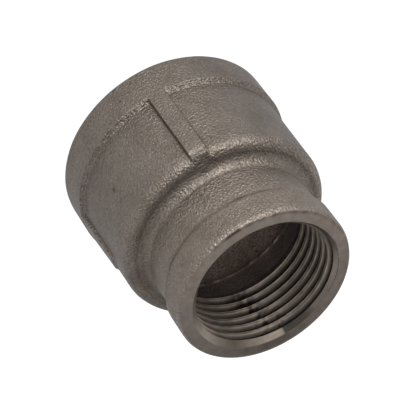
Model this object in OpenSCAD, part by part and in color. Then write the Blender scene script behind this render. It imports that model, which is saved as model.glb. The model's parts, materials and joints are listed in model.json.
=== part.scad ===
// Banded reducing coupling for pipe: one casting with a threaded socket in each end.
// The axis is +Z. The large end stands on z = 0 and the small end is at the top.

/* [Body] */
// Length from the large end's face to the small end's face
overall_length = 49.5; // [48:0.5:54]
// Diameter of the band round the large end
large_band_d = 50; // [49.5:0.5:54]
// Length of the band round the large end
large_band_length = 9; // [7:0.5:12]
// Diameter of the band round the small end
small_band_d = 40; // [39:0.5:40.5]
// Length of the band round the small end
small_band_length = 7; // [5:0.5:8]
// Step from each band down to the metal beside it
band_step = 1; // [0.5:0.1:1.2]
// Height of the crease where the rounded shoulder meets the neck
shoulder_z = 31; // [30:0.5:32]
// Radius that rounds the shoulder
shoulder_round = 2.3; // [1.5:0.1:2.5]

/* [Sockets] */
// Thread pitch of both sockets, 11 threads to the inch
pitch = 2.309; // [2.309]
// Major diameter of the large socket's thread, G 1 1/4
large_thread_d = 41.91; // [41.91]
// Major diameter of the small socket's thread, G 1
small_thread_d = 33.249; // [33.249]
// Depth of full thread in the large socket
large_thread_depth = 17.5; // [14:0.5:19]
// Depth of the machined bore in the large end
large_bore_depth = 25.5; // [24:0.5:26]
// Depth of the small socket, threaded all the way
small_socket_depth = 15; // [13:0.5:16]
// Angle round the axis at which the small socket's thread starts
small_thread_start = 102; // [0:1:359]
// How far the thread crests are cut back from the basic profile, at most 0.32 in the standard
crest_relief = 0.3; // [0.24:0.02:0.32]
// How far each mouth's chamfer opens beyond the thread's major diameter
mouth_clearance = 0.5; // [0.2:0.1:1]

/* [Ribs] */
// Number of grip ribs along the barrel
rib_count = 2; // [2:1:3]
// Width of a grip rib
rib_width = 4; // [3:0.5:6]
// Width of the ground stub left by the casting gate
gate_width = 4; // [3:0.5:6]
// Length of the ground stub beyond the large band
gate_length = 15; // [6:1:16]

/* [Hidden] */
$fn = 96;

large_band_r = large_band_d / 2;
small_band_r = small_band_d / 2;
barrel_r = large_band_r - band_step;
barrel_draft = 0.25;
barrel_end_r = barrel_r - barrel_draft;
neck_r = small_band_r - band_step;
large_corner = [1.6, 1.2];
small_corner = [0.4, 1.3];
valley_width = barrel_end_r - shoulder_round - neck_r;
valley_ring = [0.41 * valley_width, 2.15];
valley_fillet = 0.85 * valley_width;
rib_end_drop = 0.15;
band_step_run = 0.9;
gate_drop = 0.1;
gate_end_step = 0.3;

thread_half_angle = 27.5;
thread_depth = 0.640327 * pitch;
thread_root_r = 0.137329 * pitch;
groove_depth = thread_depth - crest_relief;
large_minor_r = large_thread_d / 2 - groove_depth;
small_minor_r = small_thread_d / 2 - groove_depth;
large_mouth_r = large_thread_d / 2 + mouth_clearance / 2;
small_mouth_r = small_thread_d / 2 + mouth_clearance / 2;
small_socket_z = overall_length - small_socket_depth;
chamber_end_r = small_thread_d / 2 + 0.35;
chamber_draft = 0.1;
chamber_mouth_r = large_minor_r - 0.4;
chamber_end_z = small_socket_z - 2;

arc_steps = 6;
turn_steps = 30;
fade_turns = 0.6;
fade_share = 0.75;
over = 1;

// Points on a quarter ellipse about centre, from angle from_a to angle to_a.
function arc(centre, size, from_a, to_a) = [
    for (i = [0 : arc_steps])
        let (a = from_a + (to_a - from_a) * i / arc_steps)
        centre + [size[0] * cos(a), size[1] * sin(a)]
];

// Points round a concave corner between the lines to before and after, with the given radius.
function fillet(before, corner, after, radius) =
    let (
        back = (before - corner) / norm(before - corner),
        on = (after - corner) / norm(after - corner),
        half = acos(back * on) / 2,
        middle = (back + on) / norm(back + on),
        centre = corner + middle * radius / sin(half),
        middle_a = atan2(-middle[1], -middle[0])
    )
    [
        for (i = [0 : arc_steps])
            let (a = middle_a + (90 - half) * (1 - 2 * i / arc_steps))
            centre + radius * [cos(a), sin(a)]
    ];

// Outside of the casting as [radius, z], from the large end's face to the small end's face.
function outside() = concat(
    [[0, 0]],
    arc([large_band_r - large_corner[0], large_corner[1]], large_corner, -90, 0),
    [
        [large_band_r, large_band_length],
        [barrel_r, large_band_length + band_step_run]
    ],
    arc(
        [barrel_end_r - shoulder_round, shoulder_z - shoulder_round],
        [shoulder_round, shoulder_round], 0, 90
    ),
    fillet(
        [barrel_end_r - shoulder_round, shoulder_z],
        [neck_r + valley_ring[0], shoulder_z],
        [neck_r, shoulder_z + valley_ring[1]], valley_fillet
    ),
    [
        [neck_r, shoulder_z + valley_ring[1]],
        [neck_r, overall_length - small_band_length],
        [small_band_r, overall_length - small_band_length]
    ],
    arc([small_band_r - small_corner[0], overall_length - small_corner[1]], small_corner, 0, 90),
    [[0, overall_length]]
);

// Side view of a rib: flush with the large band, then down into the shoulder.
function rib_side() = concat(
    [
        [neck_r, large_band_length - over],
        [large_band_r, large_band_length - over]
    ],
    arc(
        [barrel_end_r - shoulder_round, shoulder_z - shoulder_round],
        [large_band_r - barrel_end_r + shoulder_round, shoulder_round - rib_end_drop], 0, 90
    ),
    [[neck_r, shoulder_z - rib_end_drop]]
);

// Side view of the gate's stub: ground off from the band to a low step on the barrel.
function gate_side() = [
    [neck_r, large_band_length - over],
    [large_band_r - gate_drop, large_band_length - over],
    [large_band_r - gate_drop, large_band_length],
    [barrel_r + gate_end_step, large_band_length + gate_length],
    [neck_r, large_band_length + gate_length]
];

// A bar along the barrel with the given side view, standing out at +X.
module bar(side, width) {
    intersection() {
        rotate_extrude() polygon(side);
        translate([0, -width / 2, 0]) cube([large_band_r + over, width, overall_length]);
    }
}

// Bores and mouth chamfers of both sockets and the cast chamber between them.
module waterway() {
    rotate_extrude() polygon([
        [0, -over],
        [large_mouth_r + over, -over],
        [large_minor_r, large_mouth_r - large_minor_r],
        [large_minor_r, large_bore_depth],
        [chamber_mouth_r, large_bore_depth],
        [chamber_end_r + chamber_draft, chamber_end_z],
        [chamber_end_r, small_socket_z],
        [small_minor_r, small_socket_z],
        [small_minor_r, overall_length - small_mouth_r + small_minor_r],
        [small_mouth_r + over, overall_length + over],
        [0, overall_length + over]
    ]);
}

// One cross-section of the groove with its root at radius root_r, at angle a and height z.
function groove_section(root_r, a, z) =
    let (
        flank_r = root_r - thread_root_r * (1 - sin(thread_half_angle)),
        flank_half = thread_root_r * cos(thread_half_angle),
        mouth_r = root_r - thread_depth,
        mouth_half = 5 / 12 * pitch,
        outline = [
            [mouth_r, -mouth_half],
            [flank_r, -flank_half],
            [root_r, 0],
            [flank_r, flank_half],
            [mouth_r, mouth_half]
        ]
    )
    [for (p = outline) [p[0] * cos(a), p[0] * sin(a), z + p[1]]];

// Right-hand helical groove from z_from to z_to, fading out over the last turns when fades is true.
module thread_groove(major_r, z_from, z_to, fades) {
    steps = ceil((z_to - z_from) / pitch * turn_steps);
    fade_steps = fades ? fade_turns * turn_steps : 0;
    sides = 5;
    points = [
        for (i = [0 : steps])
            let (
                left = fades ? min(1, (steps - i) / fade_steps) : 1,
                root_r = major_r - groove_depth * fade_share * (1 - left)
            )
            each groove_section(root_r, 360 * i / turn_steps, z_from + pitch * i / turn_steps)
    ];
    walls = [
        for (i = [0 : steps - 1])
            for (j = [0 : sides - 1])
                let (
                    a = i * sides + j,
                    b = i * sides + (j + 1) % sides
                )
                each [[a, b, b + sides], [a, b + sides, a + sides]]
    ];
    start_cap = [[for (j = [sides - 1 : -1 : 0]) j]];
    end_cap = [[for (j = [0 : sides - 1]) steps * sides + j]];
    polyhedron(points, concat(walls, start_cap, end_cap));
}

module coupling_body() {
    color([0.50, 0.46, 0.42])
    difference() {
        union() {
            rotate_extrude() polygon(outside());
            for (i = [0 : rib_count - 1]) {
                rotate([0, 0, 360 * i / rib_count]) bar(rib_side(), rib_width);
            }
            rotate([0, 0, 90]) bar(gate_side(), gate_width);
        }
        waterway();
        thread_groove(large_thread_d / 2, -over, large_thread_depth, true);
        rotate([0, 0, small_thread_start])
        thread_groove(small_thread_d / 2, small_socket_z - over, overall_length + over, false);
    }
}

coupling_body();
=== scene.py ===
import json
import math

import bmesh
import bpy
from mathutils import Matrix, Vector, noise


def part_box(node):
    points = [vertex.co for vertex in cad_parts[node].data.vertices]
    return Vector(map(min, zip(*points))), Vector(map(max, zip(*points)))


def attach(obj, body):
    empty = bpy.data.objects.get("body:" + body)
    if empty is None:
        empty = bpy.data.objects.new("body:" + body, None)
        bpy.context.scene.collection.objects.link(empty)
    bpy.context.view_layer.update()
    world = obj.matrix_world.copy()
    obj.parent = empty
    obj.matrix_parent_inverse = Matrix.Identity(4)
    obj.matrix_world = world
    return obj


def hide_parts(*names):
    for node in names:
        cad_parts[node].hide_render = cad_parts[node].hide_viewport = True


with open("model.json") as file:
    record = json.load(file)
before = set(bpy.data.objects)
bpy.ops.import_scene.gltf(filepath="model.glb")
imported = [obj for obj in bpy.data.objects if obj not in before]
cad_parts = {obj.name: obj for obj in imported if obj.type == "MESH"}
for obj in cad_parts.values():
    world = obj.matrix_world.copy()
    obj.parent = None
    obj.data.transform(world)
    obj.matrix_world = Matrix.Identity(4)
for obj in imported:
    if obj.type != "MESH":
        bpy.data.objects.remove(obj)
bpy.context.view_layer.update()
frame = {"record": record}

# ---------------------------------------------------------------- sizes from the frame, in metres
MM = 0.001
low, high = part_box("coupling_body")
mounts = {m["name"]: m for m in frame["record"]["mounts"]}

LENGTH = high.z - low.z
LARGE_BAND_R = high.x
LARGE_MINOR_R = mounts["large_socket"]["dims"]["r_mm"] * MM
SMALL_MINOR_R = mounts["small_socket"]["dims"]["r_mm"] * MM

# Pipe thread, 11 to the inch, 55 degree flanks, crests cut back a little
PITCH = 25.4 * MM / 11
CREST_RELIEF = 0.3 * MM
GROOVE_DEPTH = 0.640327 * PITCH - CREST_RELIEF
ROOT_ROUND = 0.137329 * PITCH
HALF_ANGLE = math.radians(27.5)
LAND_HALF = PITCH / 12 + CREST_RELIEF * math.tan(HALF_ANGLE)
CREST_ROUND = 0.16 * MM

# Outside: band, barrel with a little draft, shoulder, valley with a low ring, neck, band
BAND_RATIO = 0.8
BAND_STEP = 1 * MM
BAND_STEP_RUN = 0.9 * MM
BARREL_DRAFT = 0.25 * MM
SMALL_BAND_R = LARGE_BAND_R * BAND_RATIO
BARREL_R = LARGE_BAND_R - BAND_STEP
BARREL_END_R = BARREL_R - BARREL_DRAFT
NECK_R = SMALL_BAND_R - BAND_STEP
LARGE_BAND_TOP = 9 * MM
SHOULDER_Z = 31 * MM
SHOULDER_ROUND = 2.35 * MM
VALLEY_RING_RUN = 1.0 * MM
VALLEY_RING_RISE = 2.15 * MM
VALLEY_ROUND = 2.1 * MM
SMALL_BAND_Z = LENGTH - 7 * MM
LARGE_FACE_RUN = 3 * MM
LARGE_CORNER_ROUND = 1.4 * MM
LARGE_EDGE_ROUND = 0.35 * MM
LARGE_FOOT_ROUND = 0.5 * MM
SMALL_EDGE_ROUND = 0.3 * MM
SMALL_FOOT_ROUND = 0.25 * MM
RING_FOOT_ROUND = 0.3 * MM

# The small band's cast corner, a round that the machined face cuts off after this much of a turn
END_ROUND = 2.2 * MM
END_TILT = math.radians(36)

# Ribs and the ground gate stub, all of one width. Angles round the axis are in radians.
RIB_WIDTH = 4 * MM
RIB_HALF_ANGLE = math.asin(RIB_WIDTH / 2 / LARGE_BAND_R)
RIB_ANGLES = [0.0, math.pi]
RIB_EDGE = math.radians(0.4)
RIB_END_DROP = 0.15 * MM
GATE_ANGLE = math.pi / 2
GATE_END_Z = LARGE_BAND_TOP + 15 * MM
GATE_DROP = 0.1 * MM
GATE_END_STEP = 0.3 * MM

# A rib sinks into the shoulder over the last part of its round, in radians
RIB_END_FADE = 0.4

# Inside: mouth chamfers, threads, and the cast chamber with a small lip above the large bore
CHAMFER_BEYOND = 0.25 * MM
LARGE_MOUTH_R = LARGE_MINOR_R + GROOVE_DEPTH + CHAMFER_BEYOND
SMALL_MOUTH_R = SMALL_MINOR_R + GROOVE_DEPTH + CHAMFER_BEYOND
LARGE_THREAD_TOP = 17.5 * MM
LARGE_THREAD_FADE = 1.4 * MM
LARGE_BORE_TOP = 25.5 * MM
SMALL_SOCKET_Z = LENGTH - 15 * MM
CHAMBER_END_Z = SMALL_SOCKET_Z - 2 * MM
CHAMBER_END_R = SMALL_MINOR_R + GROOVE_DEPTH + 0.35 * MM
CHAMBER_END_ROUND = 1.5 * MM
CHAMBER_MOUTH_R = LARGE_MINOR_R - 0.4 * MM
LIP = 0.25 * MM

# Where the CAD's thread grooves start: this far below their sockets, the small one at an angle
THREAD_LEAD = 1 * MM
SMALL_THREAD_START = 102

# Height of each groove's root at angle 0
SMALL_ROOT_Z = SMALL_SOCKET_Z - THREAD_LEAD - PITCH * SMALL_THREAD_START / 360
LARGE_ROOT_Z = -THREAD_LEAD

# Mesh density, and how many times a stretch is halved to find a crossing in it
COLUMNS = 256
ARC_STEPS = 8
ROW_GAP = 0.9 * MM
BORE_ROWS = 8
HALVINGS = 14

# Points closer than MERGED become one, and a point closer to a face than TOUCHING is on it
MERGED = 0.002 * MM
TOUCHING = 0.01 * MM

# Extra rings of the small end's face, in millimetres from its outer edge and from its mouth
OUTER_RINGS = (0.1, 0.25, 0.8)
MOUTH_RINGS = (0.3, 0.12)

# Rows of points across one pitch of thread, crest at 0 and root at 0.5
GROOVE_PHASES = [0, 0.13, 0.172, 0.27, 0.378, 0.43, 0.5, 0.57, 0.622, 0.73, 0.828, 0.87]

# Finishes, in the order of the casting's material slots
CAST, MACHINED, CHAMBER, CHAMFER = range(4)

# Marks left by casting and cutting, and where painted shade and painted reflections lie, as degrees
# round the axis
TORN_LINE_AT = -25
TORN_MOST_AT = 9
MOUTH_LINE_AT = 258
MOUTH_NICK_AT = 277
FACE_SHADE_AT = 171
CHAMFER_REFLECTION_AT = 181
THREAD_STAIN_AT = 165
LUMP_AT = 0.7
LUMP_PIT_AT = -0.8
BARREL_PIT_AT = 47.6


# ---------------------------------------------------------------- outlines
def rounded(corners):
    """Outline through corners (r, z, fillet), each corner rounded by its fillet radius."""
    points = []
    for i, (r, z, fillet) in enumerate(corners):
        here = Vector((r, z))
        if fillet == 0:
            points.append(here)
            continue
        back = (Vector(corners[i - 1][:2]) - here).normalized()
        on = (Vector(corners[i + 1][:2]) - here).normalized()
        half = math.acos(max(-1, min(1, back.dot(on)))) / 2
        reach = fillet / math.tan(half)
        centre = here + (back + on).normalized() * fillet / math.sin(half)
        start = here + back * reach - centre
        end = here + on * reach - centre
        turn = math.atan2(start.x * end.y - start.y * end.x, start.dot(end))
        for k in range(ARC_STEPS + 1):
            a = turn * k / ARC_STEPS
            spun = Vector((
                start.x * math.cos(a) - start.y * math.sin(a),
                start.x * math.sin(a) + start.y * math.cos(a),
            ))
            points.append(centre + spun)
    return points


def filled(points, gap):
    """The outline with its long straight runs divided so that no step is over gap."""
    out = [points[0]]
    for a, b in zip(points, points[1:]):
        steps = max(1, math.ceil((b - a).length / gap))
        for k in range(1, steps + 1):
            out.append(a.lerp(b, k / steps))
    return out


def end_corner():
    """The small band's cast corner, which curves in until the machined face cuts it off."""
    centre = Vector((SMALL_BAND_R - END_ROUND, LENGTH - END_ROUND * math.sin(END_TILT)))
    tilts = [END_TILT * k / ARC_STEPS for k in range(ARC_STEPS + 1)]
    return [centre + END_ROUND * Vector((math.cos(a), math.sin(a))) for a in tilts]


def outside_outline():
    """Cast skin, from the large end's face up to the small end's face."""
    edge_r = end_corner()[-1].x
    body = rounded([
        (LARGE_BAND_R - LARGE_FACE_RUN, 0, 0),
        (LARGE_BAND_R, 0, LARGE_CORNER_ROUND),
        (LARGE_BAND_R, LARGE_BAND_TOP, LARGE_EDGE_ROUND),
        (BARREL_R, LARGE_BAND_TOP + BAND_STEP_RUN, LARGE_FOOT_ROUND),
        (BARREL_END_R, SHOULDER_Z, SHOULDER_ROUND),
        (NECK_R + VALLEY_RING_RUN, SHOULDER_Z, VALLEY_ROUND),
        (NECK_R, SHOULDER_Z + VALLEY_RING_RISE, RING_FOOT_ROUND),
        (NECK_R, SMALL_BAND_Z, SMALL_FOOT_ROUND),
        (SMALL_BAND_R, SMALL_BAND_Z, SMALL_EDGE_ROUND),
        (SMALL_BAND_R, LENGTH, 0),
    ])
    rings = [edge_r - gap * MM for gap in OUTER_RINGS]
    rings += [SMALL_MOUTH_R + gap * MM for gap in MOUTH_RINGS]
    face = [Vector((r, LENGTH)) for r in rings]
    return filled(body[:-1] + end_corner() + face, ROW_GAP)


def chamber_outline():
    """Cast chamber, from the small socket's inner edge down to the large socket's bore."""
    return filled(rounded([
        (CHAMBER_END_R, SMALL_SOCKET_Z, 0),
        (CHAMBER_END_R, CHAMBER_END_Z, CHAMBER_END_ROUND),
        (CHAMBER_MOUTH_R, LARGE_BORE_TOP + LIP, 0),
        (CHAMBER_MOUTH_R, LARGE_BORE_TOP, 0),
    ]), ROW_GAP)


# ---------------------------------------------------------------- shape at one angle
def smooth(t):
    """0 up to t = 0, 1 from t = 1, with a soft slope between."""
    t = max(0.0, min(1.0, t))
    return t * t * (3 - 2 * t)


def bar_weight(angle, centre):
    """1 on top of a bar at the given angle, 0 beside it, with a narrow slope between."""
    off = abs((angle - centre + math.pi) % (2 * math.pi) - math.pi)
    return smooth((RIB_HALF_ANGLE + RIB_EDGE / 2 - off) / RIB_EDGE)


def on_rib(p):
    """Where an outline point goes on top of a rib: flush with the band, then into the shoulder."""
    r, z = p
    centre = Vector((BARREL_END_R - SHOULDER_ROUND, SHOULDER_Z - SHOULDER_ROUND))
    if z < LARGE_BAND_TOP - MM or r < centre.x:
        return p
    if z <= centre.y:
        return Vector((LARGE_BAND_R, z))
    a = math.atan2(z - centre.y, r - centre.x)
    size_r = SHOULDER_ROUND + LARGE_BAND_R - BARREL_END_R
    size_z = SHOULDER_ROUND - RIB_END_DROP
    on_top = centre + Vector((size_r * math.cos(a), size_z * math.sin(a)))
    fade = smooth((math.pi / 2 - a) / RIB_END_FADE)
    return p.lerp(on_top, fade)


def on_gate(p):
    """Where an outline point goes on the gate's stub, ground off from the band to the barrel."""
    r, z = p
    if not LARGE_BAND_TOP - MM < z < GATE_END_Z:
        return p
    down = max(0.0, (z - LARGE_BAND_TOP) / (GATE_END_Z - LARGE_BAND_TOP))
    ground = LARGE_BAND_R - GATE_DROP - down * (BAND_STEP - GATE_DROP - GATE_END_STEP)
    return Vector((max(r, ground), z))


def skin_point(p, angle):
    """Where an outline point goes at an angle round the axis."""
    out = p
    for centre in RIB_ANGLES:
        w = bar_weight(angle, centre)
        if w > 0:
            out = p.lerp(on_rib(p), w)
    w = bar_weight(angle, GATE_ANGLE)
    if w > 0:
        out = p.lerp(on_gate(p), w)
    return out


def groove_depth(phase):
    """Depth of the thread below its crest at a phase from 0 to 1, crest at 0 and root at 0.5."""
    off = abs((phase + 0.5) % 1.0 - 0.5) * PITCH
    root = PITCH / 2 - off
    if root < ROOT_ROUND * math.cos(HALF_ANGLE):
        return GROOVE_DEPTH - ROOT_ROUND + math.sqrt(ROOT_ROUND ** 2 - root * root)
    flank = (off - LAND_HALF) / math.tan(HALF_ANGLE)
    return (flank + math.sqrt(flank * flank + CREST_ROUND ** 2)) / 2


def column_angles():
    """Even columns round the axis, with a few extra on and beside each bar's sides."""
    edge = RIB_EDGE * 0.6
    foot = 0.12 * MM / LARGE_BAND_R
    offs = [-edge, -edge / 3, edge / 3, edge] + [edge + n * foot for n in (1, 2, 4)]
    extra = [
        (centre + side * (RIB_HALF_ANGLE + off)) % (2 * math.pi)
        for centre in RIB_ANGLES + [GATE_ANGLE] for side in (-1, 1) for off in offs
    ]
    step = 2 * math.pi / COLUMNS
    closest = 0.3 * step
    even = [k * step for k in range(COLUMNS)]
    kept = [a for a in even if a == 0 or all(abs(a - b) > closest for b in extra)]
    return sorted(kept + extra)


# ---------------------------------------------------------------- the casting's mesh
class Skin:
    """Grid of points round the axis. Rows run along the outline, columns round the axis."""

    def __init__(self, angles):
        self.bm = bmesh.new()
        self.angles = angles
        self.rows = []

    def add_row(self, places, zone, pitch_rows=0):
        """A row of points, one per column. On a thread, pitch_rows rows make one pitch."""
        ring = []
        for angle, (r, z) in zip(self.angles, places):
            ring.append(self.bm.verts.new((r * math.cos(angle), r * math.sin(angle), z)))
        self.rows.append((ring, zone, pitch_rows))

    def face(self, corners, zone):
        made = self.bm.faces.new(corners)
        made.material_index = zone
        made.smooth = True

    def close(self):
        """Join each row to the next, and the last to the first."""
        count = len(self.rows)
        for i in range(count):
            ring, zone, _ = self.rows[i]
            after = (i + 1) % count
            above = self.rows[after][0]
            for c in range(len(self.angles) - 1):
                self.face((ring[c], ring[c + 1], above[c + 1], above[c]), zone)
            first = self.after_a_turn(i)
            second = self.after_a_turn(after)
            if first is second:
                self.face((ring[-1], first, above[-1]), zone)
            else:
                self.face((ring[-1], first, second, above[-1]), zone)

    def after_a_turn(self, i):
        """The point that row i meets after a whole turn: a pitch back along a thread, if it can."""
        pitch_rows = self.rows[i][2]
        for _ in range(pitch_rows):
            if self.rows[i - 1][2] != pitch_rows:
                break
            i -= 1
        return self.rows[i][0][0]


def thread_heights(angle, low_z, high_z, root_z, turns):
    """Heights of one column's thread rows: the groove's own points, kept between the two ends."""
    first = math.floor((low_z - root_z) / PITCH) - 1.5 + angle / (2 * math.pi)
    heights = [
        root_z + PITCH * (first + turn + phase)
        for turn in range(turns) for phase in GROOVE_PHASES
    ]
    return [max(low_z, min(high_z, z)) for z in heights]


def snapped(heights, over):
    """The heights, with the nearest one moved to each place where over(z) changes sign."""
    out = list(heights)
    for i in range(len(out) - 1):
        below, above = out[i], out[i + 1]
        if above - below < MERGED / 2 or (over(below) > 0) == (over(above) > 0):
            continue
        a, b = below, above
        for _ in range(HALVINGS):
            middle = (a + b) / 2
            if (over(middle) > 0) == (over(below) > 0):
                a = middle
            else:
                b = middle
        if a - below < above - a:
            out[i] = a
        else:
            out[i + 1] = a
    return out


def thread_rows(skin, minor_r, ends, root_z, mouth, share):
    """Rows down a right-hand thread between two heights, opened to the mouth's chamfer."""
    low_z, high_z = ends
    turns = math.ceil((high_z - low_z) / PITCH) + 3
    columns = []
    for angle in skin.angles:

        def thread_r(z):
            phase = (z - root_z) / PITCH - angle / (2 * math.pi) + 0.5
            return minor_r + groove_depth(phase) * share(z)

        heights = thread_heights(angle, low_z, high_z, root_z, turns)
        heights = snapped(heights, lambda z: thread_r(z) - mouth(z))
        columns.append([(max(thread_r(z), mouth(z)), z) for z in heights])
    for places in reversed(list(zip(*columns))):
        skin.add_row(places, MACHINED, len(GROOVE_PHASES))


def small_mouth(z):
    """Radius of the small mouth's 45 degree chamfer at a height."""
    return SMALL_MOUTH_R - (LENGTH - z)


def large_mouth(z):
    """Radius of the large mouth's 45 degree chamfer at a height."""
    return LARGE_MOUTH_R - z


def large_share(z):
    """How much of the groove's depth is cut, down to nothing where the tap stopped."""
    return smooth((LARGE_THREAD_TOP - z) / LARGE_THREAD_FADE)


def build_casting():
    """The whole casting as one closed skin: outside, small thread, chamber, bore, large thread."""
    skin = Skin(column_angles())
    around = len(skin.angles)
    for p in outside_outline():
        zone = MACHINED if p.y < TOUCHING or p.y > LENGTH - TOUCHING else CAST
        skin.add_row([skin_point(p, a) for a in skin.angles], zone)
    thread_rows(
        skin, SMALL_MINOR_R, (SMALL_SOCKET_Z, LENGTH), SMALL_ROOT_Z,
        small_mouth, lambda z: 1.0,
    )
    for p in chamber_outline():
        skin.add_row([p] * around, CHAMBER)
    for k in range(BORE_ROWS):
        z = LARGE_BORE_TOP + (LARGE_THREAD_TOP - LARGE_BORE_TOP) * k / BORE_ROWS
        skin.add_row([(LARGE_MINOR_R, z)] * around, CHAMBER)
    thread_rows(
        skin, LARGE_MINOR_R, (0, LARGE_THREAD_TOP), LARGE_ROOT_Z,
        large_mouth, large_share,
    )
    skin.close()
    bm = skin.bm
    bmesh.ops.remove_doubles(bm, verts=bm.verts, dist=MERGED)
    bmesh.ops.dissolve_degenerate(bm, edges=bm.edges, dist=MERGED)
    bmesh.ops.recalc_face_normals(bm, faces=bm.faces)
    pick_chamfer(bm)
    lay_grime_shade_and_highlights(bm)
    roughen(bm)
    mesh = bpy.data.meshes.new("casting")
    bm.to_mesh(mesh)
    bm.free()
    mesh.set_sharp_from_angle(angle=math.radians(32))
    piece = bpy.data.objects.new("casting", mesh)
    bpy.context.scene.collection.objects.link(piece)
    return piece


def pick_chamfer(bm):
    """Give the small mouth's chamfer its own finish."""
    for f in bm.faces:
        if f.material_index != MACHINED:
            continue
        middle = f.calc_center_median()
        r = math.hypot(middle.x, middle.y)
        on_cone = abs(r - small_mouth(middle.z)) < 3 * TOUCHING
        if on_cone and f.normal.z > 0.5 and middle.z > LENGTH - 2 * MM:
            f.material_index = CHAMFER


# ---------------------------------------------------------------- grime, painted shade, painted highlights and cast waves
def near(x, centre, width):
    """1 at centre, falling to 0 well outside width."""
    return math.exp(-((x - centre) / width) ** 2)


def blob(p, centre, size):
    """1 at centre, falling to 0 well outside size, in any direction."""
    return near((p - centre).length, 0, size)


def place_round_axis(radius, degrees, z):
    """A place from its radius, its angle round the axis in degrees, and its height."""
    a = math.radians(degrees)
    return Vector((radius * math.cos(a), radius * math.sin(a), z))


def turned_from(angle, degrees):
    """Angle round the axis from a place, in degrees from -180 to 180."""
    return (math.degrees(angle) - degrees + 180) % 360 - 180


def rib_foot_shade(r, angle):
    """Painted shade along the foot of each rib's sides, standing further off on one side."""
    close, far, width = 0.12 * MM, 0.36 * MM, 0.15 * MM
    dark = 0.0
    for centre in RIB_ANGLES:
        turned = (angle - centre + math.pi) % (2 * math.pi) - math.pi
        past_edge = (abs(turned) - RIB_HALF_ANGLE) * r
        dark = max(dark, 0.9 * near(past_edge, close if turned > 0 else far, width))
    return dark


def small_band_shade_and_layer(r, z):
    """Painted shade: a dark line under the small band's step and one at its back edge; and a thin layer
    on the band itself.
    """
    if r < SMALL_BAND_R - 0.06 * MM and z < LENGTH - 3 * MM:
        return 0.9 * near(z, SMALL_BAND_Z - 1.2 * MM, 0.3 * MM)
    if SMALL_BAND_Z - MM < z < LENGTH - 1.5 * MM:
        return max(0.2, 0.85 * near(z, SMALL_BAND_Z, 0.3 * MM))
    return 0.0


def valley_shade(r, z):
    """Painted shade in the crease on top of the shoulder, in the valley and at the neck's foot."""
    place = Vector((r, z))
    crease = Vector((NECK_R + 2.3 * MM, SHOULDER_Z))
    valley = Vector((NECK_R + 1.3 * MM, SHOULDER_Z + 0.35 * MM))
    neck_foot = Vector((NECK_R, SHOULDER_Z + VALLEY_RING_RISE))
    return max(
        0.35 * blob(place, crease, 0.45 * MM),
        0.3 * blob(place, valley, 0.9 * MM),
        0.28 * blob(place, neck_foot, 0.3 * MM),
    )


def skin_shade_and_marks(p, r, angle):
    """Painted shade in the cast skin's creases and under the small band, with a thin layer on that band
    and the torn edge's dark line, from 0 to 1.
    """
    z = p.z
    if z > LENGTH - 0.15 * MM:
        return torn_edge(p, angle)
    dark = max(small_band_shade_and_layer(r, z), valley_shade(r, z))
    if LARGE_BAND_TOP + MM < z < SHOULDER_Z - 0.7 * MM:
        dark = max(dark, rib_foot_shade(r, angle))
    patchy = 0.75 + 0.6 * noise.noise(p / (2.5 * MM))
    return min(1.0, dark * patchy)


def torn_edge(p, angle):
    """Broken dark line where the machined face cuts the cast corner, clearest on one side."""
    torn = smooth(noise.noise(p / (1.6 * MM)) + 0.6)
    faint = 0.5 * torn * smooth(1.5 - abs(turned_from(angle, TORN_LINE_AT)) / 50)
    return max(faint, 0.8 * smooth(2.4 - abs(turned_from(angle, TORN_MOST_AT)) / 3))


def mouth_line(p, angle):
    """Thin dark line with a nick on one side of the small mouth's edge."""
    nick = near(turned_from(angle, MOUTH_NICK_AT), 0, 1.5)
    torn = smooth(noise.noise(p / (0.9 * MM)) + 0.8)
    torn *= smooth(1.6 - abs(turned_from(angle, MOUTH_LINE_AT)) / 27)
    return min(1.0, 0.85 * torn + nick)


def face_shade_and_lines(p, angle):
    """Painted shade on one side of the small end's face, where it reflects less light, and dark lines
    along its two edges.
    """
    if p.z < LENGTH - TOUCHING:
        return 0.0
    r = math.hypot(p.x, p.y)
    if r < SMALL_MOUTH_R + 0.2 * MM:
        return mouth_line(p, angle)
    if r > SMALL_BAND_R - 0.75 * MM:
        return torn_edge(p, angle)
    patchy = 0.8 + 0.5 * noise.noise(p / (3 * MM))
    return 0.42 * near(turned_from(angle, FACE_SHADE_AT), 0, 38) * patchy


def chamfer_dark_reflection(angle):
    """Painted dark reflection on one stretch of the small mouth's chamfer, with a fainter one after it.
    """
    past = turned_from(angle, CHAMFER_REFLECTION_AT)
    return 0.8 * smooth(past / 2) * (1 - 0.55 * smooth((past - 20) / 14)) * smooth(2.4 - past / 30)


def chamber_lip_shadow_and_highlight(p, r):
    """Painted shadow under the chamber's lip and a painted highlight along it, as a pair in that order.
    """
    if p.z > LARGE_BORE_TOP + LIP + 0.05 * MM:
        return 0.0, 0.0
    if r < (CHAMBER_MOUTH_R + LARGE_MINOR_R) / 2:
        return 0.0, max(0.0, 0.05 + 0.35 * noise.noise(p / (2 * MM)))
    return 0.6 * near(p.z, LARGE_BORE_TOP, 1.0 * MM), 0.0


def thread_stain(p, angle):
    """Dark blotches across the small socket's threads on one side."""
    if p.z < SMALL_SOCKET_Z:
        return 0.0
    blotch = smooth(noise.noise(p / (1.1 * MM)) * 2.5 + 0.55)
    middle = THREAD_STAIN_AT + 1.2 * (p.z - SMALL_SOCKET_Z) / MM
    return 0.75 * blotch * near(turned_from(angle, middle), 0, 9)


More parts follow.
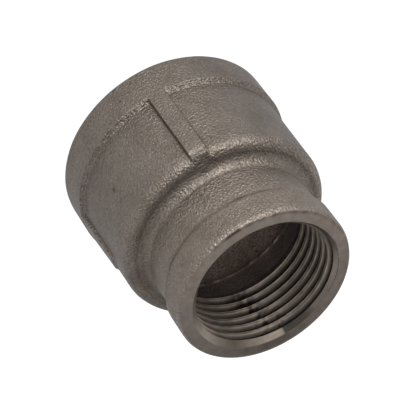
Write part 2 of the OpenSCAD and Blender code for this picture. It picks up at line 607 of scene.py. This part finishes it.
def socket_shade_and_stains(p, r, angle):
    """Painted shade in the roots of the threads, with stains across them on one side and the face's
    marks, from 0 to 1.
    """
    z = p.z
    if z < LARGE_BORE_TOP + MM:
        crest_r, mouth = LARGE_MINOR_R, large_mouth(z)
    else:
        crest_r, mouth = SMALL_MINOR_R, small_mouth(z)
    if z < TOUCHING or z > LENGTH - TOUCHING or r < mouth + 0.05 * MM:
        return face_shade_and_lines(p, angle)
    depth = (r - crest_r) / GROOVE_DEPTH
    return min(1.0, smooth(depth * 1.15 - 0.1) + thread_stain(p, angle))


def crest_highlight(p, r, angle):
    """Painted highlight: 1 on the small thread's crests along their inner edge, fading towards the
    mouth.
    """
    if p.z < SMALL_SOCKET_Z or p.z > LENGTH - 0.8 * MM:
        return 0.0
    phase = ((p.z - SMALL_ROOT_Z) / PITCH - angle / (2 * math.pi)) % 1.0
    past = phase - 0.5 + LAND_HALF / PITCH
    bright = near(past, 0, 0.04) if past < 0 else max(0.0, 1 - past / 0.42)
    return bright * (0.75 + 0.5 * noise.noise(p / (1.5 * MM)))


def lay_grime_shade_and_highlights(bm):
    """Lay grime with painted shade, and painted highlights, on the mesh, each as a layer from 0 to 1.
    """
    # The first layer holds grime and painted shade, the second painted highlights
    grime_and_shade = bm.verts.layers.float.new("grime_and_shade")
    painted_highlight = bm.verts.layers.float.new("painted_highlight")
    for v in bm.verts:
        p = v.co
        r = math.hypot(p.x, p.y)
        angle = math.atan2(p.y, p.x)
        zones = {f.material_index for f in v.link_faces}
        if CAST in zones:
            v[grime_and_shade] = skin_shade_and_marks(p, r, angle)
        elif CHAMFER in zones:
            v[grime_and_shade] = chamfer_dark_reflection(angle)
        elif CHAMBER in zones:
            v[grime_and_shade], v[painted_highlight] = chamber_lip_shadow_and_highlight(p, r)
        else:
            v[grime_and_shade] = socket_shade_and_stains(p, r, angle)
            v[painted_highlight] = crest_highlight(p, r, angle)


def roughen(bm):
    """Slight waves of the mould on the cast faces, a lump past the first rib's end, and two pits."""
    bm.normal_update()
    lump = place_round_axis(NECK_R + 1.9 * MM, LUMP_AT, SHOULDER_Z + 0.55 * MM)
    holes = [
        place_round_axis(NECK_R + 1.6 * MM, LUMP_PIT_AT, SHOULDER_Z + 1.1 * MM),
        place_round_axis(BARREL_R, BARREL_PIT_AT, 19.6 * MM),
    ]
    grime_and_shade = bm.verts.layers.float["grime_and_shade"]
    moves = []
    for v in bm.verts:
        zones = {f.material_index for f in v.link_faces}
        if MACHINED in zones or CHAMFER in zones:
            continue
        wide = noise.noise(v.co / (7 * MM))
        close = noise.noise(v.co / (2.4 * MM) + Vector((9, 4, 2)))
        height = 0.05 * wide + 0.025 * close
        pitted = max(blob(v.co, hole, 0.4 * MM) for hole in holes)
        height += 0.7 * blob(v.co, lump, 0.65 * MM) - 0.25 * pitted
        v[grime_and_shade] = min(1.0, v[grime_and_shade] + 2.0 * pitted)
        moves.append((v, v.normal * height * MM))
    for v, move in moves:
        v.co += move


# ---------------------------------------------------------------- materials
# Dull steel brightens less than polished metal where it turns away from the eye
EDGE_TINT = (0.64, 0.66, 0.7, 1)

# Brown for oxide and painted shade on the cast faces, near-black for stains, painted shade and painted
# reflections on the machined faces, and the colour of painted highlights
OXIDE_AND_SHADE = (0.034, 0.02, 0.01)
STAIN_AND_SHADE_BLACK = (0.004, 0.003, 0.0025)
PAINTED_HIGHLIGHT_COLOUR = (0.72, 0.6, 0.49)


def node_tools(name):
    """A new material with its shader, and short ways to add a node and to link two sockets."""
    material = bpy.data.materials.new(name)
    material.use_nodes = True
    tree = material.node_tree
    shader = tree.nodes["Principled BSDF"]

    def node(kind, **settings):
        made = tree.nodes.new(kind)
        for key, value in settings.items():
            setattr(made, key, value)
        return made

    def link(a, b):
        tree.links.new(a, b)

    return material, shader, node, link


def millimetres(node, link):
    """Object coordinates counted in millimetres."""
    coords = node("ShaderNodeTexCoord")
    scale = node("ShaderNodeVectorMath", operation="SCALE")
    scale.inputs["Scale"].default_value = 1 / MM
    link(coords.outputs["Object"], scale.inputs[0])
    return scale.outputs["Vector"]


def noise_field(node, link, where, size, detail=3.0, roughness=0.55):
    """Cloudy pattern from 0 to 1 with spots about size across."""
    made = node("ShaderNodeTexNoise")
    made.inputs["Scale"].default_value = 1 / size
    made.inputs["Detail"].default_value = detail
    made.inputs["Roughness"].default_value = roughness
    link(where, made.inputs["Vector"])
    return made.outputs["Fac"]


def ramp(node, link, fac, low_colour, high_colour):
    """From one colour to the other over the middle of a pattern's range."""
    made = node("ShaderNodeValToRGB")
    ends = made.color_ramp.elements
    ends[0].position = 0.3
    ends[0].color = (*low_colour, 1)
    ends[1].position = 0.7
    ends[1].color = (*high_colour, 1)
    link(fac, made.inputs["Fac"])
    return made.outputs["Color"]


def remap(node, link, fac, low_out, high_out, low_in=0.3, high_in=0.7):
    """A value brought from one range to another and held at its ends."""
    made = node("ShaderNodeMapRange")
    made.inputs["From Min"].default_value = low_in
    made.inputs["From Max"].default_value = high_in
    made.inputs["To Min"].default_value = low_out
    made.inputs["To Max"].default_value = high_out
    link(fac, made.inputs["Value"])
    return made.outputs["Result"]


def multiply(node, link, colour, factor):
    """Colour times a factor."""
    made = node("ShaderNodeVectorMath", operation="SCALE")
    link(colour, made.inputs[0])
    link(factor, made.inputs["Scale"])
    return made.outputs["Vector"]


def bump(node, link, height, distance, under=None):
    """Surface roughened by a pattern as high as distance, on top of another bump if given."""
    made = node("ShaderNodeBump")
    made.inputs["Strength"].default_value = 1.0
    made.inputs["Distance"].default_value = distance
    link(height, made.inputs["Height"])
    if under is not None:
        link(under, made.inputs["Normal"])
    return made.outputs["Normal"]


def layer_of(node, name):
    """How much of a layer the mesh carries, from 0 to 1."""
    return node("ShaderNodeAttribute", attribute_name=name).outputs["Fac"]


def covered(node, link, colour, layer, cover):
    """Colour under a second colour, as thick as the layer says."""
    mix = node("ShaderNodeMix", data_type="RGBA")
    link(layer, mix.inputs["Factor"])
    link(colour, mix.inputs["A"])
    mix.inputs["B"].default_value = (*cover, 1)
    return mix.outputs["Result"]


def metal_under_grime_and_shade(node, link, shader, colour, roughness, grime_and_shade, cover):
    """Bare metal where clean, dull and matt where the grime and painted shade are thick."""
    link(covered(node, link, colour, grime_and_shade, cover), shader.inputs["Base Color"])
    mix = node("ShaderNodeMix")
    link(grime_and_shade, mix.inputs["Factor"])
    link(roughness, mix.inputs["A"])
    mix.inputs["B"].default_value = 0.9
    link(mix.outputs["Result"], shader.inputs["Roughness"])
    link(remap(node, link, grime_and_shade, 1.0, 0.0, 0.0, 1.0), shader.inputs["Metallic"])
    shader.inputs["Specular IOR Level"].default_value = 0.1
    shader.inputs["Specular Tint"].default_value = EDGE_TINT


def crevice_shade(node, link, reach, darkest):
    """1 in the open, down to darkest in creases: painted shade from ambient occlusion."""
    made = node("ShaderNodeAmbientOcclusion", samples=8)
    made.inputs["Distance"].default_value = reach
    return remap(node, link, made.outputs["AO"], darkest, 1.0, 0.35, 0.85)


def pits(node, link, where, spacing, size):
    """0 in scattered round pits, 1 elsewhere."""
    made = node("ShaderNodeTexVoronoi")
    made.inputs["Scale"].default_value = 1 / spacing
    made.inputs["Randomness"].default_value = 1.0
    link(where, made.inputs["Vector"])
    return remap(node, link, made.outputs["Distance"], 0.0, 1.0, size / spacing * 0.6, size / spacing)


def cast_material(name, dark, light, grain, rough, pit_spacing, along):
    """Shot-blasted casting: orange-peel grain, mottled grey, pits, a change of shade along Z."""
    material, shader, node, link = node_tools(name)
    where = millimetres(node, link)
    patches = noise_field(node, link, where, 6.0, 3)
    colour = ramp(node, link, patches, dark, light)
    fine = noise_field(node, link, where, 0.5, 2, 0.5)
    speck = noise_field(node, link, where, 0.28, 1, 0.5)
    hole = pits(node, link, where, pit_spacing, 0.3)
    colour = multiply(node, link, colour, remap(node, link, fine, 0.82, 1.18))
    colour = multiply(node, link, colour, remap(node, link, speck, 0.84, 1.16))
    colour = multiply(node, link, colour, remap(node, link, hole, 0.15, 1.0, 0.0, 1.0))
    colour = multiply(node, link, colour, crevice_shade(node, link, 1.0 * MM, 0.82))
    height = node("ShaderNodeSeparateXYZ")
    link(where, height.inputs[0])
    colour = multiply(node, link, colour, remap(node, link, height.outputs["Z"], *along))
    colour = covered(node, link, colour, layer_of(node, "painted_highlight"), PAINTED_HIGHLIGHT_COLOUR)
    roughness = remap(node, link, fine, rough + 0.06, rough - 0.06)
    metal_under_grime_and_shade(node, link, shader, colour, roughness, layer_of(node, "grime_and_shade"), OXIDE_AND_SHADE)
    first = bump(node, link, fine, grain * MM)
    link(bump(node, link, hole, 0.1 * MM, first), shader.inputs["Normal"])
    return material


def turning_rings(node, link, where):
    """Radius and height of a place, on which a pattern becomes rings round the axis."""
    split = node("ShaderNodeSeparateXYZ")
    link(where, split.inputs[0])
    flat = node("ShaderNodeCombineXYZ")
    link(split.outputs["X"], flat.inputs["X"])
    link(split.outputs["Y"], flat.inputs["Y"])
    radius = node("ShaderNodeVectorMath", operation="LENGTH")
    link(flat.outputs[0], radius.inputs[0])
    rings = node("ShaderNodeCombineXYZ")
    link(radius.outputs["Value"], rings.inputs["X"])
    link(split.outputs["Z"], rings.inputs["Y"])
    return rings.outputs[0]


def machined_material(name, dark, light, rough, darker_side_way):
    """Turned steel: fine rings round the axis, with painted shade darkening it towards one side."""
    material, shader, node, link = node_tools(name)
    where = millimetres(node, link)
    turned = noise_field(node, link, turning_rings(node, link, where), 0.12, 2, 0.6)
    patches = noise_field(node, link, where, 2.0, 4)
    speck = noise_field(node, link, where, 0.3, 2)
    colour = ramp(node, link, patches, dark, light)
    # Painted shade, darker towards one side
    side = node("ShaderNodeVectorMath", operation="DOT_PRODUCT")
    side.inputs[1].default_value = towards(darker_side_way, 0)
    link(where, side.inputs[0])
    side_shade = remap(node, link, side.outputs["Value"], 1.08, 0.72, -12, 18)
    colour = multiply(node, link, colour, side_shade)
    colour = multiply(node, link, colour, remap(node, link, speck, 0.9, 1.1))
    colour = multiply(node, link, colour, crevice_shade(node, link, 0.8 * MM, 0.8))
    colour = covered(node, link, colour, layer_of(node, "painted_highlight"), PAINTED_HIGHLIGHT_COLOUR)
    roughness = remap(node, link, turned, rough - 0.05, rough + 0.08)
    metal_under_grime_and_shade(node, link, shader, colour, roughness, layer_of(node, "grime_and_shade"), STAIN_AND_SHADE_BLACK)
    first = bump(node, link, turned, 0.012 * MM)
    link(bump(node, link, speck, 0.02 * MM, first), shader.inputs["Normal"])
    return material


def cast_skin():
    return cast_material(
        "cast_skin", dark=(0.152, 0.129, 0.108), light=(0.189, 0.162, 0.14),
        grain=0.36, rough=0.46, pit_spacing=11.0, along=(0.91, 1.1, 26, 34),
    )


def machined_steel():
    return machined_material(
        "machined_steel", dark=(0.163, 0.135, 0.116), light=(0.224, 0.191, 0.168),
        rough=0.46, darker_side_way=161,
    )


def cast_chamber():
    """Painted shade: darker than the outside, most of all in the cone above the large bore."""
    return cast_material(
        "cast_chamber", dark=(0.045, 0.033, 0.027), light=(0.075, 0.056, 0.045),
        grain=0.3, rough=0.5, pit_spacing=3.4, along=(1.5, 0.62, 25, 27),
    )


def mouth_chamfer():
    return machined_material(
        "mouth_chamfer", dark=(0.2, 0.168, 0.138), light=(0.26, 0.222, 0.185),
        rough=0.38, darker_side_way=130,
    )


def floor_material():
    """Pale backdrop paper, lit so evenly that it is white to the camera."""
    material, shader, node, link = node_tools("pale_floor")
    coords = node("ShaderNodeTexCoord")
    cloud = noise_field(node, link, coords.outputs["Object"], 0.4, 2)
    colour = ramp(node, link, cloud, (0.97, 0.97, 0.97), (1, 1, 1))
    link(multiply(node, link, colour, remap(node, link, cloud, 0.1, 0.12)), shader.inputs["Base Color"])
    shader.inputs["Roughness"].default_value = 0.9
    link(colour, shader.inputs["Emission Color"])
    shader.inputs["Emission Strength"].default_value = FLOOR_GLOW
    return material


# ---------------------------------------------------------------- stage, light and camera
# How brightly the floor shines by itself, and half its width
FLOOR_GLOW = 1.0
FLOOR_HALF = 3

# Azimuth, elevation and strength of each soft patch of light: low key, two low sides, high back
PATCHES = [(-20, 8, 10.6), (90, 8, 2.1), (232, 8, 2.6), (160, 62, 2.1)]

# The larger this is, the smaller each patch
PATCH_FOCUS = 9


def build_floor():
    """A wide flat floor, which isn't part of the object."""
    bm = bmesh.new()
    bmesh.ops.create_grid(bm, x_segments=8, y_segments=8, size=FLOOR_HALF)
    mesh = bpy.data.meshes.new("floor")
    bm.to_mesh(mesh)
    bm.free()
    mesh.materials.append(floor_material())
    floor = bpy.data.objects.new("floor", mesh)
    bpy.context.scene.collection.objects.link(floor)


def towards(azimuth, elevation):
    """Unit vector from the object at an azimuth and an elevation in degrees, azimuth 0 being +X."""
    a, e = math.radians(azimuth), math.radians(elevation)
    return Vector((math.cos(a) * math.cos(e), math.sin(a) * math.cos(e), math.sin(e)))


def build_world():
    """White backdrop to the camera. Its light comes from soft patches round the object."""
    world = bpy.data.worlds.new("studio")
    bpy.context.scene.world = world
    world.use_nodes = True
    tree = world.node_tree

    def step(operation, a, b):
        made = tree.nodes.new("ShaderNodeMath")
        made.operation = operation
        for socket, value in zip(made.inputs, (a, b)):
            if isinstance(value, (int, float)):
                socket.default_value = value
            else:
                tree.links.new(value, socket)
        return made.outputs[0]

    coords = tree.nodes.new("ShaderNodeTexCoord")
    total = 0.0
    for azimuth, elevation, strength in PATCHES:
        facing = tree.nodes.new("ShaderNodeVectorMath")
        facing.operation = "DOT_PRODUCT"
        facing.inputs[1].default_value = towards(azimuth, elevation)
        tree.links.new(coords.outputs["Generated"], facing.inputs[0])
        away = step("MULTIPLY_ADD", facing.outputs["Value"], PATCH_FOCUS)
        away.node.inputs[2].default_value = -PATCH_FOCUS
        patch = step("MULTIPLY", step("POWER", math.e, away), strength)
        total = step("ADD", patch, total)
    seen = tree.nodes.new("ShaderNodeLightPath")
    mix = tree.nodes.new("ShaderNodeMix")
    background = tree.nodes["Background"]
    background.inputs["Color"].default_value = (1.0, 1.0, 1.0, 1)
    mix.inputs["B"].default_value = 1.0
    tree.links.new(total, mix.inputs["A"])
    tree.links.new(seen.outputs["Is Camera Ray"], mix.inputs["Factor"])
    tree.links.new(mix.outputs["Result"], background.inputs["Strength"])


def build_camera():
    """A long lens that looks down on the small end, rolled so that this end is low right."""
    azimuth, elevation, roll = 10.8, 42.1, -144.5
    distance = 8.85 * LENGTH
    aim = Vector((-0.1 * MM, 0.4 * MM, 0.449 * LENGTH))
    way = towards(azimuth, elevation)
    data = bpy.data.cameras.new("camera")
    data.lens = 175
    data.sensor_width = 36
    camera = bpy.data.objects.new("camera", data)
    bpy.context.scene.collection.objects.link(camera)
    level = way.to_track_quat("Z", "Y").to_matrix().to_4x4()
    turn = Matrix.Rotation(math.radians(-roll), 4, "Z")
    camera.matrix_world = Matrix.Translation(aim + way * distance) @ level @ turn
    bpy.context.scene.camera = camera


casting = build_casting()
for finish in (cast_skin(), machined_steel(), cast_chamber(), mouth_chamfer()):
    casting.data.materials.append(finish)
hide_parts("coupling_body")
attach(casting, "root")

build_floor()
build_world()
build_camera()
bpy.context.scene.view_settings.view_transform = "Standard"
